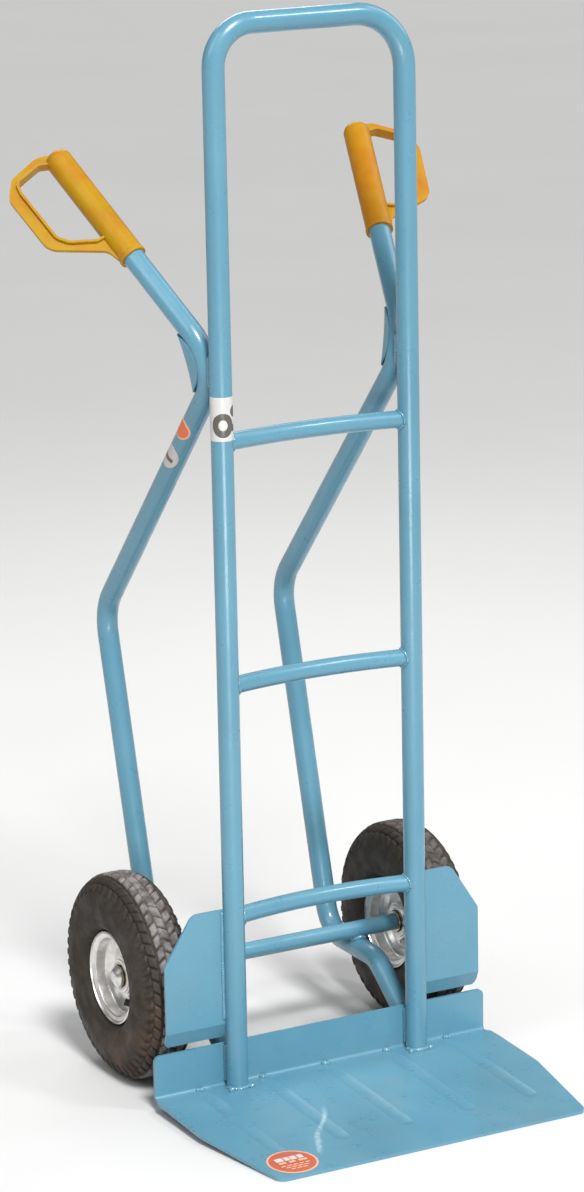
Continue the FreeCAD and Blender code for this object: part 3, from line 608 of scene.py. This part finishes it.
def welds():
    """Beads at the rungs, feet, guards, flange, axle and front bends, and pips at the feet and the fold."""
    for rung in ("crossbar_top", "crossbar_middle", "crossbar_bottom"):
        low, high = ends(rung)
        radius = (high.z - low.z) / 2
        height = (high.z + low.z) / 2
        for name, side in SIDES.items():
            centre = Vector((side * upright_x, upright_y, height))
            tilt = 2 * RUNG_BOW / upright_x
            facing = Vector((-side, tilt, 0)).normalized()
            points = saddle(centre, radius, tube_r, Z_AXIS, facing, 0.4 * MM)
            bead(f"weld_{rung}_{name}", points, RUNG_WELD, closed=True)
    for name, side in SIDES.items():
        x = side * upright_x
        reach = tube_r + 0.6 * MM
        foot = []
        for number in range(40):
            angle = math.pi + math.pi * number / 39
            across, back = math.cos(angle) * reach, math.sin(angle) * reach
            foot.append(Vector((x + across, upright_y + back, ledge_z + 0.9 * MM)))
        bead(f"weld_foot_{name}", foot, FOOT_WELD)
        for place, off in (("left", -15 * MM), ("right", 13 * MM)):
            spot = Vector((x + off, upright_y - 13 * MM, ledge_z + 1.2 * MM))
            arm = Vector((3.4 * MM, 2.6 * MM, 0.3 * MM))
            bead(f"foot_pip_{name}_{place}", [spot - arm, spot, spot + arm], FOOT_PIP)
        edge_x = side * (upright_x + tube_r + 1.2 * MM)
        top, bottom = guard_high.z - 2 * MM, guard_low.z + 24 * MM
        line = [Vector((edge_x, guard_face_y, bottom)), Vector((edge_x, guard_face_y, top))]
        bead(f"weld_guard_{name}", line, GUARD_WELD)
        for place, inward in (("outer", 1), ("inner", -1)):
            off = side * (upright_x + inward * 9.5 * MM)
            low_z, high_z = ledge_z + 4 * MM, plate_high.z - 1.5 * MM
            line = [Vector((off, fold_y - 1.8 * MM, low_z)), Vector((off, fold_y - 1.8 * MM, high_z))]
            bead(f"weld_flange_{place}_{name}", line, FLANGE_WELD)
        crossing(name, x)
        apex_welds(name, side)
    for place in range(-2, 3):
        spot = Vector((place * FOLD_PIP_PITCH + 1 * MM, fold_y - 5 * MM, ledge_z + 0.6 * MM))
        arm = Vector((5.2 * MM, -3.8 * MM, 0.4 * MM))
        bead(f"fold_pip_{place + 2}", [spot - arm, spot, spot + arm], FOLD_PIP)


def crossing(name, x):
    """The bead round the touching spot of the axle sleeve and the side tube under it."""
    ring = 8.2 * MM
    lower_z = axle_z - axle_r - tube_r - 0.1 * MM
    points = []
    for number in range(40):
        angle = 2 * math.pi * number / 40
        u, v = ring * math.cos(angle), ring * math.sin(angle)
        above = axle_z - math.sqrt(axle_r ** 2 - v * v)
        below = lower_z + math.sqrt(tube_r ** 2 - u * u)
        points.append(Vector((x + u, axle_y + v, (above + below) / 2)))
    bead(f"weld_axle_{name}", points, AXLE_WELD, closed=True)


def apex_welds(name, side):
    """Two short beads where the side tube's front bend touches the rear of the upright."""
    tube = [vertex.co for vertex in nodes[f"side_tube_{name}"].data.vertices]
    upper = [co for co in tube if co.z > 0.5 and co.y < fold_y + 4 * MM]
    touching = [co.z for co in upper if abs(co.x - side * upright_x) < 3 * MM]
    if not touching:
        return
    middle = (min(touching) + max(touching)) / 2
    for place, off in (("left", -8.5 * MM), ("right", 8.5 * MM)):
        y = upright_y + tube_r - 1.4 * MM
        line = [Vector((side * upright_x + off, y, middle + h)) for h in (-19 * MM, 0, 19 * MM)]
        bead(f"weld_apex_{name}_{place}", line, APEX_WELD)


# ---------------------------------------------------------------- labels

# The film's thickness on tubes and on the blade, the turn in radians that one facet of a wrapped
# patch may cover, and how far each layer of print lies off the tube and off the blade.
TUBE_PATCH, BLADE_PATCH = 0.12 * MM, 0.15 * MM
WRAP_STEP = 0.08
BAND_LIFT, MARK_LIFT, HOLE_LIFT = 0.05 * MM, 0.20 * MM, 0.34 * MM
RIM_LIFT, FACE_LIFT, PRINT_LIFT = 0.05 * MM, 0.25 * MM, 0.45 * MM
STICKER_X, STICKER_FORWARD = -0.1755, 0.2415
BAND_Z = 0.8557
# The left side tube's centreline from its knee up to its front bend, and two places on it for labels.
KNEE = Vector((-upright_x, fold_y + 0.3215, 0.5498))
APEX = Vector((-upright_x, fold_y - 0.0109, 0.9154))
DISC_PLACE = Vector((-upright_x, fold_y + 0.0667, 0.8301))
ROUND_PLACE = Vector((-upright_x, fold_y + 0.102, 0.791))


def on_tube(name, centre, axis, normal, outline, lift, look):
    """A thin patch wrapped on a frame tube. The outline gives (along, around) from its centre."""
    across = axis.cross(normal)
    widest = max(abs(around) for _, around in outline)
    rings = max(6, math.ceil(widest / tube_r / WRAP_STEP))
    verts = []
    for skin in (lift + TUBE_PATCH, lift):
        for ring in range(rings + 1):
            for along, around in outline:
                share = ring / rings
                angle = around * share / tube_r
                spot = normal * math.cos(angle) + across * math.sin(angle)
                verts.append(centre + axis * along * share + spot * (tube_r + skin))
    count = len(outline)
    layer = (rings + 1) * count
    faces = []
    for number in range(count):
        step = (number + 1) % count
        for ring in range(rings):
            a, b = ring * count + number, ring * count + step
            c, d = b + count, a + count
            faces.append((a, b, c, d))
            faces.append((layer + d, layer + c, layer + b, layer + a))
        outer, outer_step = rings * count + number, rings * count + step
        faces.append((outer, outer_step, layer + outer_step, layer + outer))
    make(name, verts, faces, look, "root")


def oval(along, around, count=40):
    """An ellipse's outline, from its two half widths."""
    turns = [2 * math.pi * number / count for number in range(count)]
    return [(along * math.cos(turn), around * math.sin(turn)) for turn in turns]


def block(along, around, count=40):
    """A rectangle's outline from its two half widths, finely divided so that it wraps a tube."""
    corners = [(along, around), (-along, around), (-along, -around), (along, -around)]
    out = []
    for (x, y), (next_x, next_y) in zip(corners, corners[1:] + corners[:1]):
        for number in range(count):
            share = number / count
            out.append((x + (next_x - x) * share, y + (next_y - y) * share))
    return out


def labels():
    """Plain bands and discs with generic shapes: on the left upright, the left side tube and the plate."""
    white = film("label_white", (0.60, 0.59, 0.585), (0.42, 0.43, 0.43))
    dark = film("label_dark", (0.10, 0.09, 0.075), (0.22, 0.21, 0.19))
    rust = film("label_orange", (0.72, 0.14, 0.02), (0.75, 0.35, 0.2))
    brick = film("label_brick", (0.50, 0.105, 0.042), (0.60, 0.30, 0.22))
    pale = film("label_pale", (0.80, 0.42, 0.28), (0.72, 0.5, 0.42))
    grey = film("label_grey", (0.52, 0.49, 0.48), (0.38, 0.38, 0.38))
    centre = Vector((-upright_x, upright_y, BAND_Z))
    front = Vector((-0.35, -0.94, 0)).normalized()
    on_tube("label_band", centre, Z_AXIS, front, block(26.5 * MM, 33 * MM), BAND_LIFT, white)
    ring = centre - Z_AXIS * 7 * MM
    on_tube("label_mark_ring", ring, Z_AXIS, front, oval(14.5 * MM, 13.5 * MM), MARK_LIFT, dark)
    on_tube("label_mark_hole", ring, Z_AXIS, front, oval(6.6 * MM, 5.6 * MM), HOLE_LIFT, white)
    high, low = centre + Z_AXIS * 9 * MM, centre - Z_AXIS * 11 * MM
    dot_side = Matrix.Rotation(1.25, 3, "Z") @ front
    on_tube("label_mark_dot", high, Z_AXIS, dot_side, oval(7 * MM, 7 * MM), MARK_LIFT, dark)
    bar_side = Matrix.Rotation(1.35, 3, "Z") @ front
    on_tube("label_mark_bar", low, Z_AXIS, bar_side, block(4 * MM, 6 * MM), MARK_LIFT, dark)
    along = (APEX - KNEE).normalized()
    out = -X_AXIS
    on_tube("label_disc_ring", DISC_PLACE, along, out, oval(15 * MM, 15 * MM), BAND_LIFT, pale)
    on_tube("label_disc_face", DISC_PLACE, along, out, oval(12.2 * MM, 12.2 * MM), MARK_LIFT, rust)
    on_tube("label_round", ROUND_PLACE, along, out, oval(18.5 * MM, 15.5 * MM), BAND_LIFT, grey)
    mark = ROUND_PLACE - along * 3 * MM
    on_tube("label_round_mark", mark, along, out, block(3 * MM, 9 * MM), MARK_LIFT, dark)
    sticker(white, brick, pale)


def flat_patch(name, centre, outline, lift, look):
    """A thin patch that lies on the sloping blade. The outline gives (x, y) from its centre."""
    verts = []
    for height in (lift + BLADE_PATCH, lift):
        for x, y in outline:
            spot = Vector((centre.x + x, centre.y + y, 0))
            verts.append(Vector((spot.x, spot.y, plate_top(spot.y) + height)))
    count = len(outline)
    faces = [tuple(range(count)), tuple(range(2 * count - 1, count - 1, -1))]
    for number in range(count):
        step = (number + 1) % count
        faces.append((number, count + number, count + step, step))
    make(name, verts, faces, look, "root", smooth=False)


def sticker(white, brick, pale):
    """The round sticker at the plate's front left corner: a rim, a face, rows of dashes and small ticks."""
    centre = Vector((STICKER_X, fold_y - STICKER_FORWARD, 0))
    flat_patch("sticker_rim", centre, oval(31 * MM, 31 * MM, 56), RIM_LIFT, pale)
    flat_patch("sticker_face", centre, oval(28.5 * MM, 28.5 * MM, 56), FACE_LIFT, brick)
    for row, (wide, place) in enumerate(((5.0, -13), (3.4, -3), (4.0, 5.5), (3.4, 15))):
        spot = centre + Vector((place * MM, 9.5 * MM, 0))
        flat_patch(f"sticker_dash_{row}", spot, block(wide * MM, 4.4 * MM, 4), PRINT_LIFT, white)
    for row, (wide, place) in enumerate(((6, -13), (5, 0), (7, 14))):
        spot = centre + Vector((place * MM, 0.5 * MM, 0))
        flat_patch(f"sticker_block_{row}", spot, block(wide * 0.8 * MM, 2.2 * MM, 4), PRINT_LIFT, pale)
    for row in range(3):
        for tick in range(5 - row):
            spot = centre + Vector(((tick - (4 - row) / 2) * 8 * MM, -(8 + 5 * row) * MM, 0))
            flat_patch(f"sticker_tick_{row}_{tick}", spot, block(3 * MM, 1 * MM, 2), PRINT_LIFT, pale)


# ---------------------------------------------------------------- stage, light and camera

# The camera's turns are in radians, its shift is a share of the picture's long side, and its sensor
# and focal length are in millimetres. The rest is in metres.
CAMERA_PLACE = Vector((-2.27946, -4.19548, 1.83419))
CAMERA_AIM = Vector((0, -0.02506, 0.640))
CAMERA_TURN = (-0.00592, -0.00449, -0.02022)
CAMERA_SHIFT = 0.000838926
SENSOR, FOCAL_LENGTH = 36, 122.256242
FLOOR_HALF = 40
# The strength of the white surround, and the sun's strength, spread and direction of travel.
SURROUND = 0.17
SUN_POWER, SUN_SPREAD, SUN_TRAVEL = 2.8, math.radians(15), Vector((0.107, 0.606, -0.788))
# Each softbox: its name, its place, the point it faces, its width and height, and its power in watts.
SOFTBOXES = (
    ("low_box", (-0.66, -1.98, 0.26), (-0.10, 0, 0.5), 0.9, 0.34, 11),
    ("key_box", (-0.35, -2.3, 3.3), (0, 0, 1.1), 0.9, 0.5, 24),
    ("front_right_box", (1.5, -1.6, 3.4), (0, 0, 1.0), 0.45, 0.45, 26),
    ("rear_box", (0.6, 2.2, 2.6), (0, 0, 0.9), 1.6, 0.8, 24),
    ("left_box", (-2.4, -0.3, 2.9), (0, 0, 0.6), 1.2, 2.0, 22),
    ("right_box", (2.4, 0.2, 2.6), (0, 0, 0.6), 1.2, 2.0, 18),
)


def camera():
    """A long lens in front and to the left, with small turns in azimuth, elevation and roll."""
    yaw, pitch, roll = CAMERA_TURN
    aim = (CAMERA_AIM - CAMERA_PLACE).normalized()
    azimuth, elevation = math.atan2(aim.x, aim.y) + yaw, math.asin(aim.z) + pitch
    flat = math.cos(elevation)
    ahead = Vector((math.sin(azimuth) * flat, math.cos(azimuth) * flat, math.sin(elevation)))
    right = Vector((math.cos(azimuth), -math.sin(azimuth), 0))
    up = right.cross(ahead)
    right, up = (
        right * math.cos(roll) + up * math.sin(roll),
        up * math.cos(roll) - right * math.sin(roll),
    )
    data = bpy.data.cameras.new("camera")
    data.sensor_width, data.lens = SENSOR, FOCAL_LENGTH
    data.shift_x = data.shift_y = CAMERA_SHIFT
    thing = bpy.data.objects.new("camera", data)
    bpy.context.scene.collection.objects.link(thing)
    turned = Matrix((right, up, -ahead)).transposed().to_4x4()
    thing.matrix_world = Matrix.Translation(CAMERA_PLACE) @ turned
    bpy.context.scene.camera = thing


def softbox(name, place, aim, wide, high, power):
    """A rectangular area light at a place, turned to face a point."""
    data = bpy.data.lights.new(name, "AREA")
    data.shape = "RECTANGLE"
    data.size, data.size_y, data.energy = wide, high, power
    thing = bpy.data.objects.new(name, data)
    bpy.context.scene.collection.objects.link(thing)
    thing.location = place
    thing.rotation_euler = (Vector(aim) - Vector(place)).to_track_quat("-Z", "Y").to_euler()


def studio():
    """A wide pale floor, a dim even surround, a soft sun from high in front and softboxes all round."""
    size = FLOOR_HALF
    corners = [(-size, -size, 0), (size, -size, 0), (size, size, 0), (-size, size, 0)]
    mesh = bpy.data.meshes.new("studio_floor")
    mesh.from_pydata(corners, [], [(0, 1, 2, 3)])
    floor = bpy.data.objects.new("studio_floor", mesh)
    bpy.context.scene.collection.objects.link(floor)
    dress(floor, floor_finish())
    world = bpy.data.worlds.new("studio")
    world.use_nodes = True
    background = world.node_tree.nodes["Background"]
    background.inputs["Color"].default_value = (1.0, 1.0, 1.0, 1)
    background.inputs["Strength"].default_value = SURROUND
    bpy.context.scene.world = world
    sun = bpy.data.lights.new("overhead", "SUN")
    sun.energy, sun.angle = SUN_POWER, SUN_SPREAD
    thing = bpy.data.objects.new("overhead", sun)
    bpy.context.scene.collection.objects.link(thing)
    thing.rotation_euler = SUN_TRAVEL.to_track_quat("-Z", "Y").to_euler()
    for box in SOFTBOXES:
        softbox(*box)
    bpy.context.scene.view_settings.view_transform = "Standard"


for wheel_name in SIDES:
    tyre(wheel_name)
welds()
labels()
studio()
camera()
